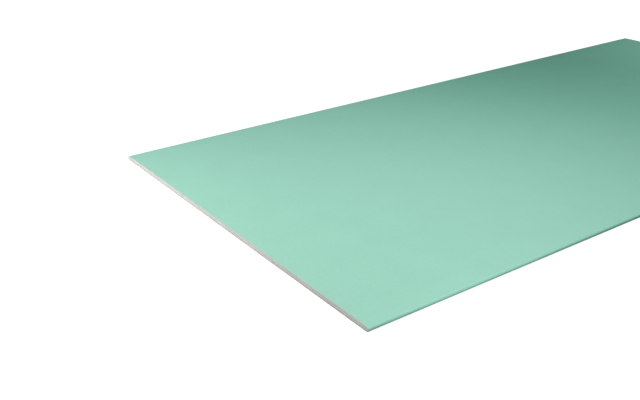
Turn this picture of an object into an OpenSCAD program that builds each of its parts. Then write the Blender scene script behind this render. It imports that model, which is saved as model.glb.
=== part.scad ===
// Moisture-resistant drywall sheet, lying flat with its green face up.
// A gypsum core is wrapped in face paper, which runs round both half-round, tapered long edges
// and folds onto the back, where the back paper laps over the folds. The two ends are cut square
// and leave the core bare.
// Millimetres. X runs along the sheet, Y across it and Z through it, from the middle of the back.

/* [Sheet] */
// Length of the sheet, between its cut ends
sheet_l = 2500; // [600:10:3600]
// Width of the sheet, across its papered edges
sheet_w = 1200; // [300:10:1250]
// Thickness of the sheet, away from its edges
sheet_t = 12.5; // [6.5:0.5:25]

/* [Long edges] */
// Width of the tapered strip along each long edge
taper_w = 50; // [30:1:80]
// Drop of the face across the tapered strip
taper_drop = 1.5; // [0.6:0.1:2.5]

/* [Papers] */
// Thickness of the face paper
face_paper_t = 0.4; // [0.2:0.05:0.8]
// Thickness of the back paper
back_paper_t = 0.4; // [0.2:0.05:0.8]
// Width of the face paper's fold that shows on the back, inside the rounded edge
fold_bare_w = 10; // [4:0.5:25]
// Width of the fold that lies under the back paper
fold_lap_w = 15; // [8:0.5:40]
// Width of the thinned strip along each side of the back paper
skive_w = 3; // [1:0.5:6]

/* [Hidden] */
$fn = 96;

// The rounded edge is a half circle over the thickness that the taper leaves
nose_r = (sheet_t - taper_drop) / 2;
nose_y = sheet_w / 2 - nose_r;
// The taper runs from a knee on the face down to the top of the half circle
knee_y = sheet_w / 2 - taper_w;
// Half widths on the back: to the side of the back paper, and to the end of the fold under it
back_paper_y = nose_y - fold_bare_w;
fold_end_y = back_paper_y - fold_lap_w;

// Half a line across the section, from +Y inwards, and the same line mirrored onto -Y
function both_sides(half) =
    concat(half, [for (i = [len(half) - 1 : -1 : 0]) [-half[i][0], half[i][1]]]);

// The line over the top of the section, a paper thickness down or none
function face_line(down) = both_sides([[nose_y, 2 * nose_r - down], [knee_y, sheet_t - down]]);

// The line under the core: on the folds, stepped up over the laps, and down onto the back paper
core_underside = both_sides([
    [nose_y, face_paper_t],
    [back_paper_y, face_paper_t],
    [back_paper_y - skive_w, back_paper_t + face_paper_t],
    [fold_end_y, back_paper_t + face_paper_t],
    [fold_end_y, back_paper_t]
]);

// A section, from the line over it and the line under it, with both edges rounded
module rounded_section(over, under, edge_r) {
    for (side = [-1, 1])
        translate([side * nose_y, nose_r]) circle(edge_r);
    polygon(concat(over, [for (i = [len(under) - 1 : -1 : 0]) under[i]]));
}

module sheet_section() {
    rounded_section(face_line(0), both_sides([[nose_y, 0]]), nose_r);
}

module core_section() {
    rounded_section(face_line(face_paper_t), core_underside, nose_r - face_paper_t);
}

module back_paper_section() {
    polygon(both_sides([[back_paper_y, 0], [back_paper_y - skive_w, back_paper_t]]));
}

// A section in Y and Z, drawn out along the sheet
module along_sheet() {
    rotate([90, 0, 90]) linear_extrude(sheet_l, center = true) children();
}

module gypsum_core() {
    color("#d9d6d0") along_sheet() core_section();
}

module face_paper() {
    color("#9fd6c2") along_sheet() difference() {
        sheet_section();
        core_section();
        back_paper_section();
    }
}

module back_paper() {
    color("#b5ada0") along_sheet() back_paper_section();
}

gypsum_core();
face_paper();
back_paper();
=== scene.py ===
import math

import bpy
import numpy as np
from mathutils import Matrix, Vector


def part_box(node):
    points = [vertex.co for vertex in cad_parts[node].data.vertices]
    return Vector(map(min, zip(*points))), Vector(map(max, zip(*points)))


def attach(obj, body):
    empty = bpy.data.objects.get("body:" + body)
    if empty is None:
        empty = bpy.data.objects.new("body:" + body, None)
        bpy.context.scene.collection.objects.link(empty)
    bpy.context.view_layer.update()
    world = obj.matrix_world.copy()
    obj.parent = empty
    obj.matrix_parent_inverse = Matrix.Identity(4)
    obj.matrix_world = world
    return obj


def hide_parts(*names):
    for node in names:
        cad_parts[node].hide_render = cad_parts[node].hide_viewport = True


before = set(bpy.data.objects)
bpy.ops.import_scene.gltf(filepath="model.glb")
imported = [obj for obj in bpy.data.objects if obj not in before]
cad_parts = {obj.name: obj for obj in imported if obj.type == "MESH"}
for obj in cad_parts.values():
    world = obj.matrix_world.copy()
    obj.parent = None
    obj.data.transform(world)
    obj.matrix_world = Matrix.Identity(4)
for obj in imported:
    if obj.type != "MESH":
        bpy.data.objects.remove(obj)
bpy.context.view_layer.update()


# Sizes of the sheet, in metres, from the solids it stands for
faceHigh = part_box("face_paper")[1]
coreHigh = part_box("gypsum_core")[1]
backLow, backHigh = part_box("back_paper")
endX = faceHigh.x
halfWidth = faceHigh.y
sheetThick = faceHigh.z
faceThick = faceHigh.z - coreHigh.z
backThick = backHigh.z - backLow.z
backHalf = backHigh.y

# The long edges: a tapered strip down to a half-round nose, and the fold under the back paper
longEdge = {
    "taperWidth": 0.050,
    "taperDrop": 0.0015,
    "foldLap": 0.015,  # of the face paper, under the back paper
    "skive": 0.003,  # strip along its sides where the back paper thins out
    "arcSteps": 28,
}
noseRadius = (sheetThick - longEdge["taperDrop"]) / 2
noseY = halfWidth - noseRadius
kneeY = halfWidth - longEdge["taperWidth"]
skiveY = backHalf - longEdge["skive"]
foldEndY = backHalf - longEdge["foldLap"]
arcTurns = np.linspace(0, math.pi, longEdge["arcSteps"], endpoint=False)


# Smooth random field over u and v with the given cell size, from -1 to 1
def cellNoise(u, v, cell, seed):
    u = (u - u.min()) / cell
    v = (v - v.min()) / cell
    iu, iv = u.astype(int), v.astype(int)
    table = np.random.default_rng(seed).uniform(-1, 1, (iu.max() + 2, iv.max() + 2))
    fu, fv = u - iu, v - iv
    fu = fu * fu * (3 - 2 * fu)  # eased from one cell to the next
    fv = fv * fv * (3 - 2 * fv)
    low = table[iu, iv] * (1 - fu) + table[iu + 1, iv] * fu
    high = table[iu, iv + 1] * (1 - fu) + table[iu + 1, iv + 1] * fu
    return low * (1 - fv) + high * fv


# Several such fields on top of each other: cells is a list of (cell size, strength)
def layeredNoise(u, v, cells, seed):
    return sum(strength * cellNoise(u, v, cell, seed + i) for i, (cell, strength) in enumerate(cells))


# Quads between neighbouring columns and rows of a grid of vertex numbers
def gridQuads(grid):
    a, b = grid[:-1, :-1].ravel(), grid[1:, :-1].ravel()
    c, d = grid[1:, 1:].ravel(), grid[:-1, 1:].ravel()
    return np.stack([a, b, c, d], axis=1)


# Triangles from a full ring of vertices to a thinned one, which has only the points numbered in kept
def fanTriangles(full, thinned, kept):
    triangles = []
    for k, (first, last) in enumerate(zip(kept, kept[1:])):
        middle = (first + last) // 2
        for i in range(first, last):
            triangles.append((full[i], thinned[k if i < middle else k + 1], full[i + 1]))
        triangles.append((full[middle], thinned[k], thinned[k + 1]))
    return np.array(triangles)


# Faces between rings that follow each other along the sheet
def ringFaces(rings, kept, flip):
    quads, fans = [], []
    for low, high in zip(rings, rings[1:]):
        if len(low) == len(high):
            quads.append(gridQuads(np.stack([low, high])))
        elif len(low) > len(high):
            fans.append(fanTriangles(low, high, kept))
        else:
            fans.append(fanTriangles(high, low, kept)[:, ::-1])
    groups = [np.concatenate(quads), np.concatenate(fans)]
    return [faces[:, ::-1] for faces in groups] if flip else groups


# Bake map: the margins beside the cut ends get more room than their length
mapSet = {"margin": 0.015, "marginShare": 0.05, "border": 0.005}


# Places on the bake map, from x along the sheet and from a share of the way up the given band
def mapPlaces(x, share, band):
    border, inner = mapSet["border"], mapSet["marginShare"]
    marks = [-endX, mapSet["margin"] - endX, endX - mapSet["margin"], endX]
    u = np.interp(x, marks, [border, inner, 1 - inner, 1 - border])
    return np.stack([u, band[0] + share * (band[1] - band[0])], axis=-1)


# Faces of one part of a piece, with their places on the bake map
def meshPart(faces, places, smooth=False, raw=0.0):
    return {"faces": faces, "places": places, "smooth": smooth, "raw": raw}


def meshObject(name, verts, parts):
    mesh = bpy.data.meshes.new(name)
    mesh.from_pydata(verts.tolist(), [], [face for part in parts for face in part["faces"].tolist()])
    places = np.concatenate([part["places"].reshape(-1, 2) for part in parts])
    mesh.uv_layers.new(name="OFBake").data.foreach_set("uv", places.astype(np.float32).ravel())
    smooth = np.concatenate([np.full(len(part["faces"]), part["smooth"]) for part in parts])
    mesh.polygons.foreach_set("use_smooth", smooth)
    raw = np.concatenate([np.full(len(part["faces"]), part["raw"], np.float32) for part in parts])
    mesh.attributes.new("rawCut", "FLOAT", "FACE").data.foreach_set("value", raw)
    mesh.update()
    piece = bpy.data.objects.new(name, mesh)
    bpy.context.scene.collection.objects.link(piece)
    return piece


# Gypsum core
coreSet = {
    "columnStep": 0.0007,  # across the cut end
    "rows": 17,  # through the cut end
    "tipTurn": 88,  # degrees round the edge to the last column
    "thin": 30,  # columns to one column of the faces under the papers
    "thinFrom": 0.020,  # how far behind the cut end those begin
    "foldStep": 0.00001,  # half the width of the step under the fold's end
    "recess": 0.00025,  # how far the gypsum stands back from the knife's line
    "roughness": [(0.030, 0.00008), (0.009, 0.00013), (0.0032, 0.00012), (0.0014, 0.00009)],
    "pits": 1300,  # torn air bubbles on each end
    "pitRadius": (0.0006, 0.0019),
    "pitDepth": (0.0002, 0.0006),
    "crumbleReach": 0.0016,  # of the broken corners along the papers
    "crumbleDepth": 0.0005,
    "crumblePatches": [(0.012, 0.6), (0.004, 0.5)],
    "crumbleSqueeze": 0.2,  # draws the patches out through the thickness
    "chipHeight": 0.0017,  # of the lower corner, broken back all along
    "chipDepth": (0.0004, 0.0013),  # at the middle of the width and at the sheet's corners
    "chipFrom": 0.30,  # how far from the middle it starts to deepen
    "chipShare": 0.8,  # of that depth, before it is made uneven
    "chipUneven": [(0.035, 0.3), (0.008, 0.3)],
    "deepest": 0.0020,
    "seeds": {-1: 210, 1: 340},
    "seedSteps": {"patches": 20, "chips": 30, "pits": 40},
    "mapLengths": 4,  # each cut end is mapped in lengths, so that its grain keeps its detail
    "mapBand": 0.11,
    "sleeveBand": (0.90, 0.99),
}


# Height of the core's upper and lower face at y
def coreSpan(y):
    y = np.abs(y)
    inNose = np.clip(y - noseY, 0, None)
    arc = np.sqrt(np.clip((noseRadius - faceThick) ** 2 - inNose**2, 0, None))
    upper = np.interp(y, [kneeY, noseY], [sheetThick, 2 * noseRadius]) - faceThick
    step = coreSet["foldStep"]
    lower = np.interp(
        y,
        [foldEndY - step, foldEndY + step, skiveY, backHalf],
        [backThick, backThick + faceThick, backThick + faceThick, faceThick],
    )
    upper = np.where(y > noseY, noseRadius + arc, upper)
    lower = np.where(y > noseY, noseRadius - arc, lower)
    return lower, upper


# Columns across the cut end, and which of them the faces under the papers keep
def coreColumns():
    turns = np.append(arcTurns[1:len(arcTurns) // 2], math.radians(coreSet["tipTurn"]))
    nose = noseY + (noseRadius - faceThick) * np.sin(turns)
    flat = np.linspace(0, noseY, round(noseY / coreSet["columnStep"]) + 1)
    besideFold = 2 * coreSet["foldStep"]
    steps = np.array([foldEndY - besideFold, foldEndY + besideFold, skiveY, backHalf, kneeY])
    half = np.unique(np.concatenate([flat, steps, nose]))
    columns = np.concatenate([-half[:0:-1], half])
    kept = (np.abs(columns) >= foldEndY - besideFold) | (np.abs(columns) == kneeY)
    kept[::coreSet["thin"]] = True
    return columns, kept


# How far each point of a cut end lies behind the knife's line
def cutDepth(y, z, lower, upper, seed):
    seeds = {kind: seed + step for kind, step in coreSet["seedSteps"].items()}
    depth = coreSet["recess"] + layeredNoise(y, z, coreSet["roughness"], seed)
    # corners broken away in patches along the papers
    fromBelow, fromAbove = z - lower[:, None], upper[:, None] - z
    nearRim = np.clip(1 - np.minimum(fromBelow, fromAbove) / coreSet["crumbleReach"], 0, 1)
    patches = layeredNoise(y, z * coreSet["crumbleSqueeze"], coreSet["crumblePatches"], seeds["patches"])
    depth += coreSet["crumbleDepth"] * np.clip(patches, 0, 1) * nearRim
    # the lower corner, broken back all along
    uneven = coreSet["chipShare"] + layeredNoise(y, z * 0, coreSet["chipUneven"], seeds["chips"])
    chip = np.interp(np.abs(y), [coreSet["chipFrom"], halfWidth], coreSet["chipDepth"])
    depth += chip * uneven * np.clip(1 - fromBelow / coreSet["chipHeight"], 0, 1)
    # torn air bubbles, most of them small
    rng = np.random.default_rng(seeds["pits"])
    count, (smallest, largest) = coreSet["pits"], coreSet["pitRadius"]
    pitY = rng.uniform(-noseY, noseY, count)
    pitZ = rng.uniform(faceThick, sheetThick - faceThick, count)
    pitR = rng.uniform(0, 1, count) ** 2 * (largest - smallest) + smallest
    pitD = rng.uniform(*coreSet["pitDepth"], count)
    pits = np.zeros_like(depth)
    for py, pz, pr, pd in zip(pitY, pitZ, pitR, pitD):
        first, last = np.searchsorted(y[:, 0], [py - pr, py + pr])
        away = ((y[first:last] - py) ** 2 + (z[first:last] - pz) ** 2) / pr**2
        pits[first:last] = np.maximum(pits[first:last], pd * np.clip(1 - away, 0, 1))
    return np.clip(depth + pits, 0, coreSet["deepest"])


# Places on the bake map for one length of a cut end, in its own band
def capPlaces(columns, rows, band):
    border = mapSet["border"]
    u = np.linspace(border, 1 - border, columns)
    v = np.linspace(band * coreSet["mapBand"] + border, (band + 1) * coreSet["mapBand"] - border, rows)
    grid = np.stack(np.meshgrid(u, v, indexing="ij"), axis=-1).reshape(-1, 2)
    return grid[gridQuads(np.arange(columns * rows).reshape(columns, rows))]


def makeCore():
    columnY, keptColumns = coreColumns()
    lower, upper = coreSpan(columnY)
    count, rows = len(columnY), coreSet["rows"]
    z = lower[:, None] + (upper - lower)[:, None] * np.linspace(0, 1, rows)
    y = np.repeat(columnY[:, None], rows, axis=1)
    verts, caps = [], {}
    for side in (-1, 1):
        depth = cutDepth(y, z, lower, upper, coreSet["seeds"][side])
        caps[side] = np.arange(count * rows).reshape(count, rows) + len(verts) * count * rows
        verts.append(np.stack([side * (endX - depth), y, z], axis=-1).reshape(-1, 3))
    verts = np.concatenate(verts)
    parts = []
    cuts = np.linspace(0, count - 1, coreSet["mapLengths"] + 1).astype(int)
    for i, side in enumerate((-1, 1)):
        for k, (first, last) in enumerate(zip(cuts, cuts[1:])):
            faces = gridQuads(caps[side][first:last + 1])
            places = capPlaces(last + 1 - first, rows, i * coreSet["mapLengths"] + k)
            if side < 0:
                faces, places = faces[:, ::-1], places[:, ::-1]
            parts.append(meshPart(faces, places, smooth=True))
    # faces under the papers, from one end to the other, thinned out behind the ends
    rims = {s: np.concatenate([g[:, 0], g[-1, 1:], g[-2::-1, -1], g[0, -2::-1]]) for s, g in caps.items()}
    corner = [False] * (rows - 2) + [True]
    kept = np.flatnonzero(np.concatenate([keptColumns, corner, keptColumns[-2::-1], corner]))
    thinned = {}
    for side in (-1, 1):
        ring = verts[rims[-1][kept[:-1]]]
        ring[:, 0] = side * (endX - coreSet["thinFrom"])
        thinned[side] = np.append(np.arange(len(ring)), 0) + len(verts)
        verts = np.concatenate([verts, ring])
    share = (verts[:, 1] + halfWidth) / (2 * halfWidth)
    places = mapPlaces(verts[:, 0], share, coreSet["sleeveBand"])
    for faces in ringFaces([rims[-1], thinned[-1], thinned[1], rims[1]], kept, True):
        parts.append(meshPart(faces, places[faces]))
    return meshObject("gypsumCore", verts, parts)


# Papers
paperSet = {
    "step": 0.0005,  # along the cut
    "thin": 50,  # steps to one step of the paper's faces away from the cut
    "fullRings": [0.0025, 0.010],  # from each cut end
    "thinRings": [0.040, 0.300, 0.700, 1.100],
    "ragged": [(0.040, 0.00010), (0.009, 0.00012), (0.0025, 0.00012), (0.0011, 0.00008)],
    "setBack": 0.00028,
    "nicks": 18,  # small tears on each end
    "nickWidth": (0.0010, 0.0032),
    "nickDepth": (0.0003, 0.0009),
    "fray": [(0.0013, 0.00006)],  # between the two skins of the cut edge
    "pressed": [(0.018, 0.00006), (0.004, 0.00005)],  # how far the knife pushed the face's cut edge down
    "deepest": 0.0018,
    "featherEdge": 0.00002,  # what is left of the back paper at its thinned sides
    "faceSeed": 610,
    "backSeed": 770,
    "seedSteps": {"cut": 5, "fray": 7, "pressed": 9},
    "nickSeedStep": 30,
    "outBand": (0.005, 0.760),  # bands up the bake map
    "underBand": (0.770, 0.800),
    "cutBands": [(0.810, 0.860), (0.870, 0.920)],
    "sideBands": [(0.930, 0.950), (0.960, 0.980)],
}


# Points along a chain of corners, without the last one, and which of them a thinned line keeps
def chainSteps(corners):
    points, kept = [], []
    for start, end in zip(corners, corners[1:]):
        count = max(1, round(math.dist(start, end) / paperSet["step"]))
        points += [tuple(np.add(start, np.subtract(end, start) * i / count)) for i in range(count)]
        kept += [i % paperSet["thin"] == 0 or i in (1, count - 1) for i in range(count)]
    return points, kept


# The face paper's section from the -Y fold round to the +Y fold: outer and inner line, and kept points
def facePaperLine():
    outer, kept = chainSteps([(foldEndY, backThick), (skiveY, backThick), (backHalf, 0), (noseY, 0)])
    inner = [(y, z + faceThick) for y, z in outer]
    centre = np.array([noseY, noseRadius])
    for turn in arcTurns:
        away = np.array([math.sin(turn), -math.cos(turn)])
        outer.append(tuple(centre + noseRadius * away))
        inner.append(tuple(centre + (noseRadius - faceThick) * away))
        kept.append(True)
    top, keptTop = chainSteps([(noseY, 2 * noseRadius), (kneeY, sheetThick), (0, sheetThick)])
    half = np.array([outer + top, inner + [(y, z - faceThick) for y, z in top]])
    kept += keptTop
    middle = np.array([[(0, sheetThick)], [(0, sheetThick - faceThick)]])
    return np.concatenate([half * [-1, 1], middle, half[:, ::-1]], axis=1), kept + [True] + kept[::-1]


# The back paper's section: flat outside, with thinned strips along its sides
def backPaperLine():
    outer, kept = chainSteps([(backHalf, 0), (skiveY, 0), (-skiveY, 0), (-backHalf, 0)])
    outer = np.array(outer + [(-backHalf, 0)])
    rise = np.interp(np.abs(outer[:, 0]), [skiveY, backHalf], [backThick, 0])
    rise = np.maximum(rise, paperSet["featherEdge"])
    inner = outer + np.stack([np.zeros(len(outer)), rise], axis=1)
    return np.stack([outer, inner]), kept + [True]


# How far a paper's cut edge lies behind the knife's line, along the section
def raggedCut(along, seed):
    level = np.zeros_like(along)
    cut = paperSet["setBack"] + layeredNoise(along, level, paperSet["ragged"], seed)
    rng = np.random.default_rng(seed + paperSet["nickSeedStep"])
    for at in rng.uniform(0, along.max(), paperSet["nicks"]):
        wide = rng.uniform(*paperSet["nickWidth"])
        deep = rng.uniform(*paperSet["nickDepth"])
        cut += deep * np.clip(1 - np.abs(along - at) / wide, 0, 1)
    return np.clip(cut, 0, paperSet["deepest"])


# The two skins of a cut edge: ragged, frayed between them, and pressed down on the face
def cutRing(ring, along, seed, side):
    seeds = {kind: seed + side * step for kind, step in paperSet["seedSteps"].items()}
    level = np.zeros_like(along)
    cut = raggedCut(along, seeds["cut"])
    fray = layeredNoise(along, level, paperSet["fray"], seeds["fray"])
    pressed = np.clip(layeredNoise(along, level, paperSet["pressed"], seeds["pressed"]), 0, None)
    pressed[ring[0, :, 2] < sheetThick - longEdge["taperDrop"]] = 0
    ring[:, :, 0] -= side * np.array([cut, cut + np.abs(fray)])
    ring[0, :, 2] -= pressed


# A paper drawn out along the sheet from its section line
def makePaper(name, section, seed):
    line, kept = section
    kept = np.flatnonzero(kept)
    along = np.append(0, np.cumsum(np.linalg.norm(np.diff(line[0], axis=0), axis=1)))
    ringX = [-endX + r for r in [0] + paperSet["fullRings"] + paperSet["thinRings"]]
    ringX += [-x for x in reversed(ringX)]
    verts, shares, layers, rings = [], [], [], []
    for i, x in enumerate(ringX):
        fromEnd = min(i, len(ringX) - 1 - i)
        points = np.arange(len(along)) if fromEnd <= len(paperSet["fullRings"]) else kept
        ring = np.concatenate([np.full((2, len(points), 1), x), line[:, points]], axis=2)
        if fromEnd == 0:
            cutRing(ring, along, seed, 1 if i else -1)
        rings.append(np.arange(2 * len(points)).reshape(2, -1) + sum(map(len, verts)))
        verts.append(ring.reshape(-1, 3))
        shares.append(np.tile(along[points] / along[-1], 2))
        layers.append(np.repeat([0, 1], len(points)))
    verts, shares, layers = (np.concatenate(lists) for lists in (verts, shares, layers))
    out, under = ([ring[layer] for ring in rings] for layer in (0, 1))
    parts = []
    for group, band, flip, smooth in (
        (out, paperSet["outBand"], False, True),
        (under, paperSet["underBand"], True, False),
    ):
        places = mapPlaces(verts[:, 0], shares, band)
        for faces in ringFaces(group, kept, flip):
            parts.append(meshPart(faces, places[faces], smooth))
    # cut ends, where raw paper shows, and the sides of the strip
    alongMap = mapSet["border"] + shares * (1 - 2 * mapSet["border"])
    for i, flip in ((0, True), (-1, False)):
        faces = gridQuads(np.stack([out[i], under[i]]))[:, ::-1 if flip else 1]
        low, high = paperSet["cutBands"][i]
        places = np.stack([alongMap, low + layers * (high - low)], axis=-1)
        parts.append(meshPart(faces, places[faces], raw=1.0))
    for i, flip in ((0, False), (-1, True)):
        grid = np.array([[ring[i] for ring in group] for group in (out, under)])
        faces = gridQuads(grid)[:, ::-1 if flip else 1]
        places = mapPlaces(verts[:, 0], layers, paperSet["sideBands"][i])
        parts.append(meshPart(faces, places[faces]))
    return meshObject(name, verts, parts)


core = makeCore()
facePaper = makePaper("facePaper", facePaperLine(), paperSet["faceSeed"])
backPaper = makePaper("backPaper", backPaperLine(), paperSet["backSeed"])
for piece, node, slot in (
    (core, "gypsum_core", "gypsum"),
    (facePaper, "face_paper", "green_face_paper"),
    (backPaper, "back_paper", "grey_back_paper"),
):
    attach(piece, "root")
    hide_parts(node)
print("stage 2: pieces made,", [(p.name, len(p.data.polygons)) for p in (core, facePaper, backPaper)])


# Materials
def startMaterial(name):
    material = bpy.data.materials.new(name)
    material.use_nodes = True
    tree = material.node_tree
    return material, tree, tree.nodes["Principled BSDF"]


# A node with its settings and inputs: a socket given as a value is linked
def addNode(tree, kind, inputs=(), **settings):
    node = tree.nodes.new(kind)
    for key, value in settings.items():
        setattr(node, key, value)
    for key, value in dict(inputs).items():
        if isinstance(value, bpy.types.NodeSocket):
            tree.links.new(value, node.inputs[key])
        else:
            node.inputs[key].default_value = value
    return node


def objectPlaces(tree, stretch=(1, 1, 1)):
    place = addNode(tree, "ShaderNodeTexCoord").outputs["Object"]
    return addNode(tree, "ShaderNodeMapping", {"Vector": place, "Scale": stretch}).outputs["Vector"]


def noise(tree, places, scale, detail=3.0, rough=0.55):
    inputs = {"Vector": places, "Scale": scale, "Detail": detail, "Roughness": rough}
    return addNode(tree, "ShaderNodeTexNoise", inputs).outputs["Fac"]


def remap(tree, value, low, high, start, end):
    inputs = {"Value": value, "From Min": low, "From Max": high, "To Min": start, "To Max": end}
    return addNode(tree, "ShaderNodeMapRange", inputs).outputs["Result"]


def maths(tree, operation, a, b):
    return addNode(tree, "ShaderNodeMath", {0: a, 1: b}, operation=operation).outputs[0]


# The mix node's own numbers for the sockets of its colour form
mixShare, mixFirst, mixSecond, mixResult = 0, 6, 7, 2


# A plain colour gets the fourth value that a colour socket takes
def socketColour(colour):
    return colour if isinstance(colour, bpy.types.NodeSocket) else (*colour, 1)


def mixColours(tree, share, a, b):
    inputs = {mixShare: share, mixFirst: socketColour(a), mixSecond: socketColour(b)}
    return addNode(tree, "ShaderNodeMix", inputs, data_type="RGBA").outputs[mixResult]


# Several patterns added up by their shares
def blendPatterns(tree, shares, patterns):
    total = 0.0
    for share, pattern in zip(shares, patterns):
        total = maths(tree, "ADD", total, maths(tree, "MULTIPLY", pattern, share))
    return total


noiseSpan = (0.3, 0.7)  # nearly all of a noise pattern lies between these
speckCore = 0.6  # share of a speck's size that has its full strength


# Small specks scattered over some of the cells of a Voronoi pattern
def specks(tree, places, scale, size, kept):
    cells = addNode(tree, "ShaderNodeTexVoronoi", {"Vector": places, "Scale": scale})
    chosen = maths(tree, "LESS_THAN", cells.outputs["Color"], kept)
    inside = remap(tree, cells.outputs["Distance"], size * speckCore, size, 1, 0)
    return maths(tree, "MULTIPLY", chosen, inside)


def addBump(tree, shader, height, strength, distance):
    inputs = {"Height": height, "Strength": strength, "Distance": distance}
    bump = addNode(tree, "ShaderNodeBump", inputs)
    tree.links.new(bump.outputs["Normal"], shader.inputs["Normal"])


# Margin beside each cut end, where the dyed skin is scuffed off and dust has settled in the pulp
def wornMargin(tree, places, look):
    alongX = addNode(tree, "ShaderNodeSeparateXYZ", {0: places}).outputs["X"]
    fromMiddle = maths(tree, "ABSOLUTE", alongX, 0.0)
    near = remap(tree, fromMiddle, endX - look["wornReach"], endX, 0, 1)
    patchy = remap(tree, noise(tree, places, **look["wornPatches"]), *noiseSpan, *look["wornShare"])
    share = maths(tree, "MULTIPLY", maths(tree, "POWER", near, look["wornFade"]), patchy)
    return maths(tree, "MULTIPLY", share, look["wornStrength"])


# Both papers: fibres along the sheet, cloudy formation and specks of recycled pulp
def paperMaterial(name, look):
    material, tree, shader = startMaterial(name)
    plain = objectPlaces(tree)
    along = objectPlaces(tree, (look["fibreStretch"], 1, 1))
    clouds = noise(tree, plain, **look["clouds"])
    formation = noise(tree, plain, **look["formation"])
    fibres = noise(tree, along, **look["fibres"])
    mottle = blendPatterns(tree, look["mottle"], (clouds, formation, fibres))
    lightness = remap(tree, mottle, *look["mottleSpan"], 0, 1)
    colour = mixColours(tree, lightness, look["darker"], look["lighter"])
    dark = specks(tree, along, look["speckScale"], look["speckSize"], look["speckShare"])
    colour = mixColours(tree, maths(tree, "MULTIPLY", dark, look["speckStrength"]), colour, look["speck"])
    colour = mixColours(tree, wornMargin(tree, plain, look), colour, look["worn"])
    raw = addNode(tree, "ShaderNodeAttribute", attribute_name="rawCut").outputs["Fac"]
    colour = mixColours(tree, raw, colour, look["raw"])
    tree.links.new(colour, shader.inputs["Base Color"])
    tree.links.new(remap(tree, fibres, *noiseSpan, *look["roughness"]), shader.inputs["Roughness"])
    shader.inputs["Specular IOR Level"].default_value = look["shine"]
    height = maths(tree, "ADD", fibres, maths(tree, "MULTIPLY", formation, look["formationBump"]))
    addBump(tree, shader, height, look["bump"], look["bumpDepth"])
    return material


greenPaper = {
    "darker": (0.296, 0.574, 0.462),
    "lighter": (0.334, 0.640, 0.521),
    "mottle": (0.17, 0.20, 0.63),  # shares of the clouds, the formation and the fibres
    "mottleSpan": (0.34, 0.66),  # of the mottle, from the darker to the lighter colour
    "clouds": {"scale": 11, "detail": 4},
    "formation": {"scale": 130, "detail": 4, "rough": 0.6},
    "fibres": {"scale": 1300, "detail": 3, "rough": 0.65},
    "fibreStretch": 0.16,
    "speck": (0.20, 0.44, 0.35),
    "speckScale": 150,
    "speckSize": 0.085,
    "speckShare": 0.22,
    "speckStrength": 0.50,
    "raw": (0.60, 0.62, 0.56),
    "worn": (0.52, 0.50, 0.47),
    "wornReach": 0.014,
    "wornPatches": {"scale": 260, "detail": 3, "rough": 0.6},
    "wornShare": (0.5, 1.0),  # how much the patches let through
    "wornFade": 1.6,  # power of the fall-off away from the cut
    "wornStrength": 0.50,
    "roughness": (0.80, 0.95),
    "shine": 0.25,
    "bump": 0.35,
    "bumpDepth": 0.00012,
    "formationBump": 0.8,  # height of the formation against the fibres
}

greyPaper = {
    "darker": (0.375, 0.345, 0.295),
    "lighter": (0.455, 0.422, 0.365),
    "mottle": (0.25, 0.25, 0.50),
    "mottleSpan": (0.34, 0.66),
    "clouds": {"scale": 14, "detail": 4},
    "formation": {"scale": 150, "detail": 4, "rough": 0.6},
    "fibres": {"scale": 1100, "detail": 3, "rough": 0.65},
    "fibreStretch": 0.20,
    "speck": (0.20, 0.17, 0.14),
    "speckScale": 210,
    "speckSize": 0.13,
    "speckShare": 0.35,
    "speckStrength": 0.55,
    "raw": (0.36, 0.32, 0.27),
    "worn": (0.55, 0.53, 0.49),
    "wornReach": 0.012,
    "wornPatches": {"scale": 240, "detail": 3, "rough": 0.6},
    "wornShare": (0.5, 1.0),
    "wornFade": 1.6,
    "wornStrength": 0.35,
    "roughness": (0.84, 0.97),
    "shine": 0.2,
    "bump": 0.45,
    "bumpDepth": 0.00016,
    "formationBump": 0.8,
}

gypsumLook = {
    "shaded": (0.640, 0.632, 0.596),
    "bright": (0.760, 0.752, 0.716),
    "mottle": (0.4, 0.4, 0.2),  # shares of the patches, the blotches and the grain
    "mottleSpan": (0.34, 0.62),
    "patches": {"scale": 46, "detail": 3},
    "blotches": {"scale": 260, "detail": 4, "rough": 0.6},
    "grain": {"scale": 1900, "detail": 3, "rough": 0.7},
    # pore colour and its strength: painted shade inside the small pores, which the bump also dents
    "poreShade": (0.50, 0.49, 0.465),
    "poreScale": 420,
    "poreSize": 0.20,
    "poreShare": 0.30,
    "poreShadeStrength": 0.70,
    "roughness": (0.88, 1.0),
    "shine": 0.15,
    "bump": 0.6,
    "bumpDepth": 0.00025,
}


# The cut core: chalky and mottled, with fine pores that the bump dents and that are darkened with painted
# shade
def gypsumMaterial(name, look):
    material, tree, shader = startMaterial(name)
    plain = objectPlaces(tree)
    patches = noise(tree, plain, **look["patches"])
    blotches = noise(tree, plain, **look["blotches"])
    grain = noise(tree, plain, **look["grain"])
    mottle = blendPatterns(tree, look["mottle"], (patches, blotches, grain))
    lightness = remap(tree, mottle, *look["mottleSpan"], 0, 1)
    colour = mixColours(tree, lightness, look["shaded"], look["bright"])
    # the pores: dents in the bump, and darker specks of painted shade in the colour
    pores = specks(tree, plain, look["poreScale"], look["poreSize"], look["poreShare"])
    colour = mixColours(tree, maths(tree, "MULTIPLY", pores, look["poreShadeStrength"]), colour, look["poreShade"])
    tree.links.new(colour, shader.inputs["Base Color"])
    tree.links.new(remap(tree, grain, *noiseSpan, *look["roughness"]), shader.inputs["Roughness"])
    shader.inputs["Specular IOR Level"].default_value = look["shine"]
    height = maths(tree, "SUBTRACT", maths(tree, "ADD", grain, blotches), pores)
    addBump(tree, shader, height, look["bump"], look["bumpDepth"])
    return material


facePaper.data.materials.append(paperMaterial("greenFacePaper", greenPaper))
backPaper.data.materials.append(paperMaterial("greyBackPaper", greyPaper))
core.data.materials.append(gypsumMaterial("cutGypsum", gypsumLook))
print("stage 3: materials made")


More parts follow.
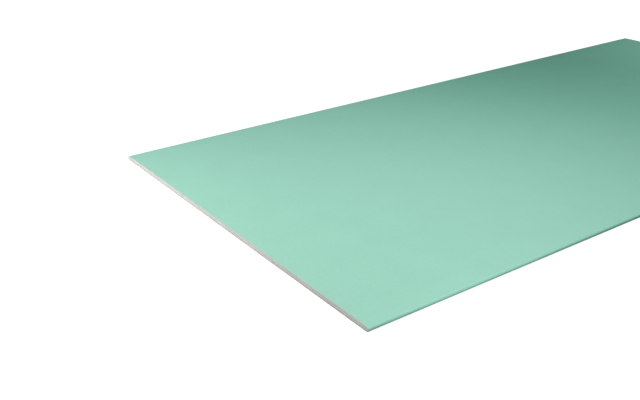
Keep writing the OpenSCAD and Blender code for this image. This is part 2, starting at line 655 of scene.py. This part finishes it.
# Floor
floorSet = {
    "reach": 120.0,
    "drop": 0.0002,
    "colour": (0.3, 0.3, 0.3),
    "roughness": 0.9,
    "shine": 0.0,
    "glow": (0.92, 1.0),  # what is added to its light, by the lit end of the sheet and far off
    "glowCentre": (-0.9, -0.2, 0),
    "glowFrom": 1.3,
    "glowTo": 2.4,
}


def makeFloor():
    reach, z = floorSet["reach"], -floorSet["drop"]
    mesh = bpy.data.meshes.new("floor")
    corners = [(-reach, -reach, z), (reach, -reach, z), (reach, reach, z), (-reach, reach, z)]
    mesh.from_pydata(corners, [], [(0, 1, 2, 3)])
    floor = bpy.data.objects.new("floor", mesh)
    bpy.context.scene.collection.objects.link(floor)
    material, tree, shader = startMaterial("paleFloor")
    shader.inputs["Base Color"].default_value = (*floorSet["colour"], 1)
    shader.inputs["Roughness"].default_value = floorSet["roughness"]
    shader.inputs["Specular IOR Level"].default_value = floorSet["shine"]
    # a white sweep to look at, which throws no light of its own onto the sheet
    inputs = {0: objectPlaces(tree), 1: floorSet["glowCentre"]}
    away = addNode(tree, "ShaderNodeVectorMath", inputs, operation="DISTANCE").outputs["Value"]
    glow = remap(tree, away, floorSet["glowFrom"], floorSet["glowTo"], *floorSet["glow"])
    seen = addNode(tree, "ShaderNodeLightPath").outputs["Is Camera Ray"]
    shader.inputs["Emission Color"].default_value = (1, 1, 1, 1)
    tree.links.new(maths(tree, "MULTIPLY", glow, seen), shader.inputs["Emission Strength"])
    material.cycles.emission_sampling = "NONE"
    mesh.materials.append(material)
    return floor


makeFloor()


# Lights
lightSet = {
    "front": {"at": (-2.89, -0.66, 2.23), "towards": (-1.02, 1.48, 0), "size": (0.9, 0.9), "power": 66.2},
    "over": {"at": (-0.10, -0.33, 1.75), "towards": (-2.77, -1.22, 0), "size": (0.6, 0.6), "power": 21.8},
    "left": {"at": (-2.34, 0.27, 0.57), "towards": (-1.23, 2.10, 0), "size": (0.5, 0.3), "power": 11.4},
    "edge": {"at": (-0.97, -1.15, 0.14), "towards": (-0.88, -0.53, 0), "size": (0.3, 0.15), "power": 1.35},
    # fills: over the far end, and two low strips before the far end and the rear edge
    "far": {"at": (1.9, -0.6, 1.1), "towards": (1.7, 0.4, 0), "size": (0.7, 0.7), "power": 13.0},
    "farStrip": {"at": (2.7, 0, 0.2), "towards": (1.25, 0, 0), "size": (1.4, 0.25), "power": 10.0},
    "rearStrip": {"at": (0.2, 2.4, 0.2), "towards": (0.2, 0.6, 0), "size": (2.4, 0.25), "power": 7.0},
}
skySet = {"colour": (0.70, 1.0, 0.88), "light": 0.08, "seen": 1.0}
toneSet = [(0.16, 0.127), (0.25, 0.235), (0.35, 0.347), (0.60, 0.60)]  # light in and light shown


def addLight(name, light):
    lamp = bpy.data.lights.new(name, "AREA")
    lamp.shape = "RECTANGLE"
    lamp.size, lamp.size_y = light["size"]
    lamp.energy = light["power"]
    holder = bpy.data.objects.new(name, lamp)
    holder.location = light["at"]
    away = np.subtract(light["towards"], light["at"])
    turn = math.atan2(away[1], away[0]) - math.pi / 2
    tilt = math.atan2(math.hypot(away[0], away[1]), -away[2])
    holder.rotation_euler = (tilt, 0, turn)
    holder.visible_camera = False
    bpy.context.scene.collection.objects.link(holder)


def makeSky():
    world = bpy.data.worlds.new("studio")
    world.use_nodes = True
    tree = world.node_tree
    path = addNode(tree, "ShaderNodeLightPath").outputs["Is Camera Ray"]
    strength = remap(tree, path, 0, 1, skySet["light"], skySet["seen"])
    colour = mixColours(tree, path, skySet["colour"], (1, 1, 1))
    tree.links.new(strength, tree.nodes["Background"].inputs["Strength"])
    tree.links.new(colour, tree.nodes["Background"].inputs["Color"])
    bpy.context.scene.world = world


# A slight toe, which deepens the darker colours as a print does
def setTones():
    view = bpy.context.scene.view_settings
    view.view_transform = "Standard"
    view.use_curve_mapping = True
    allColours = view.curve_mapping.curves[3]  # after those of red, green and blue
    for point in toneSet:
        allColours.points.new(*point)
    view.curve_mapping.update()


for lightName, light in lightSet.items():
    addLight(lightName, light)
makeSky()
setTones()
print("stage 4: floor and lights made")


# Camera
cameraSet = {
    "at": (-2.2319, -1.7823, 1.0253),
    "pitch": 24.98,  # degrees down
    "heading": 54.09,  # degrees from +X towards +Y
    "lens": 48.46,
    "sensor": 36.0,
    "clipEnd": 500.0,
}


def makeCamera():
    lens = bpy.data.cameras.new("camera")
    lens.sensor_width = cameraSet["sensor"]
    lens.lens = cameraSet["lens"]
    lens.clip_end = cameraSet["clipEnd"]
    camera = bpy.data.objects.new("camera", lens)
    camera.location = cameraSet["at"]
    tilt = math.radians(90 - cameraSet["pitch"])
    turn = math.radians(cameraSet["heading"] - 90)
    camera.rotation_euler = (tilt, 0, turn)
    bpy.context.scene.collection.objects.link(camera)
    bpy.context.scene.camera = camera


makeCamera()
print("stage 5: camera set")
